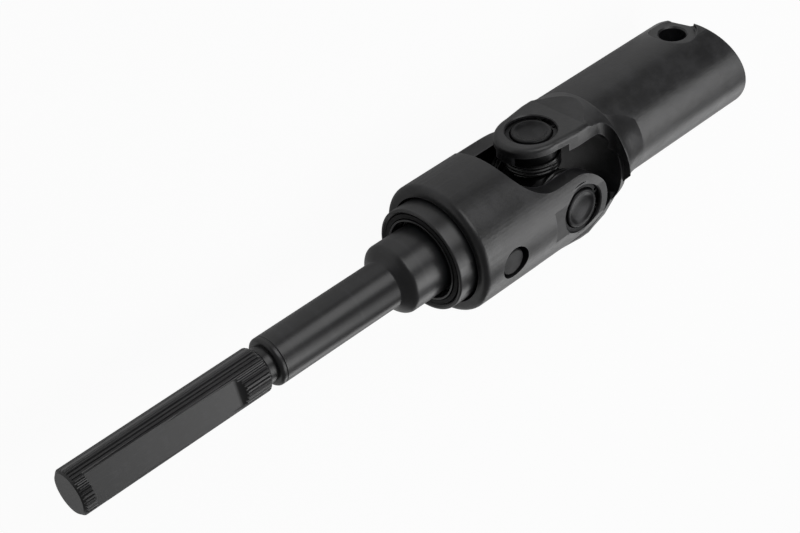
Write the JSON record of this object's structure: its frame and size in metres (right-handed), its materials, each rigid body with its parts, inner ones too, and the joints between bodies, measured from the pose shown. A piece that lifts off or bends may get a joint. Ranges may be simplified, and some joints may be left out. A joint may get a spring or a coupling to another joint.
{
  "type": "steering shaft",
  "caption": "Steering shaft with a serrated, flatted end, a rubber-damped coupling in a cup yoke, a universal joint and a clamp hub with a cross bolt hole.",
  "frame": {"origin": "centre of the flat end face of the serrated shaft", "axes": "+X along the shaft from its serrated tip towards the clamp hub, +Y along the joint pins that the hub yoke carries, +Z along the joint pins that the cup yoke carries"},
  "size_m": [0.2678, 0.0444, 0.0446],
  "materials": {
    "coated_steel": "satin black coating on forged steel",
    "shaft_steel": "satin black coating on machined steel",
    "sleeve_steel": "black coated sheet steel, satin",
    "black_steel": "black phosphated bearing steel, semi-gloss",
    "spring_steel": "black spring steel",
    "bright_steel": "ground bearing steel",
    "seal_rubber": "glossy black, lightly greased",
    "damper_rubber": "matt black vulcanised rubber",
    "thrust_plastic": "black moulded plastic"
  },
  "bodies": {
    "hub": {"hub_yoke": "coated_steel", "hub_cap_1": "black_steel", "hub_cap_2": "black_steel", "hub_needles_1": "bright_steel", "hub_needles_2": "bright_steel", "hub_snap_ring_1": "spring_steel", "hub_snap_ring_2": "spring_steel"},
    "cross": {"cross": "black_steel", "hub_seal_1": "seal_rubber", "hub_seal_2": "seal_rubber", "cup_seal_1": "seal_rubber", "cup_seal_2": "seal_rubber", "hub_thrust_pad_1": "thrust_plastic", "hub_thrust_pad_2": "thrust_plastic", "cup_thrust_pad_1": "thrust_plastic", "cup_thrust_pad_2": "thrust_plastic"},
    "cup": {"cup_yoke": "coated_steel", "cup_cap_1": "black_steel", "cup_cap_2": "black_steel", "cup_needles_1": "bright_steel", "cup_needles_2": "bright_steel", "cup_snap_ring_1": "spring_steel", "cup_snap_ring_2": "spring_steel", "outer_sleeve": "sleeve_steel", "rubber_bush": "damper_rubber"},
    "shaft": {"shaft": "shaft_steel", "inner_sleeve": "sleeve_steel", "limit_pin": "black_steel"}
  },
  "joints": [
    {"name": "hub_pin_hinge", "type": "hinge", "parent": "hub", "child": "cross", "pos_m": [0.17606, 0, 0], "axis": [0, 1, 0], "range_deg": [-30, 30]},
    {"name": "cup_pin_hinge", "type": "hinge", "parent": "cross", "child": "cup", "pos_m": [0.17606, 0, 0], "axis": [0, 0, 1], "range_deg": [-20, 20]},
    {"name": "damper_twist", "type": "hinge", "parent": "cup", "child": "shaft", "pos_m": [0.14, 0, 0], "axis": [1, 0, 0], "range_deg": [-2, 2], "stiffness_Nm_per_rad": 57}
  ]
}
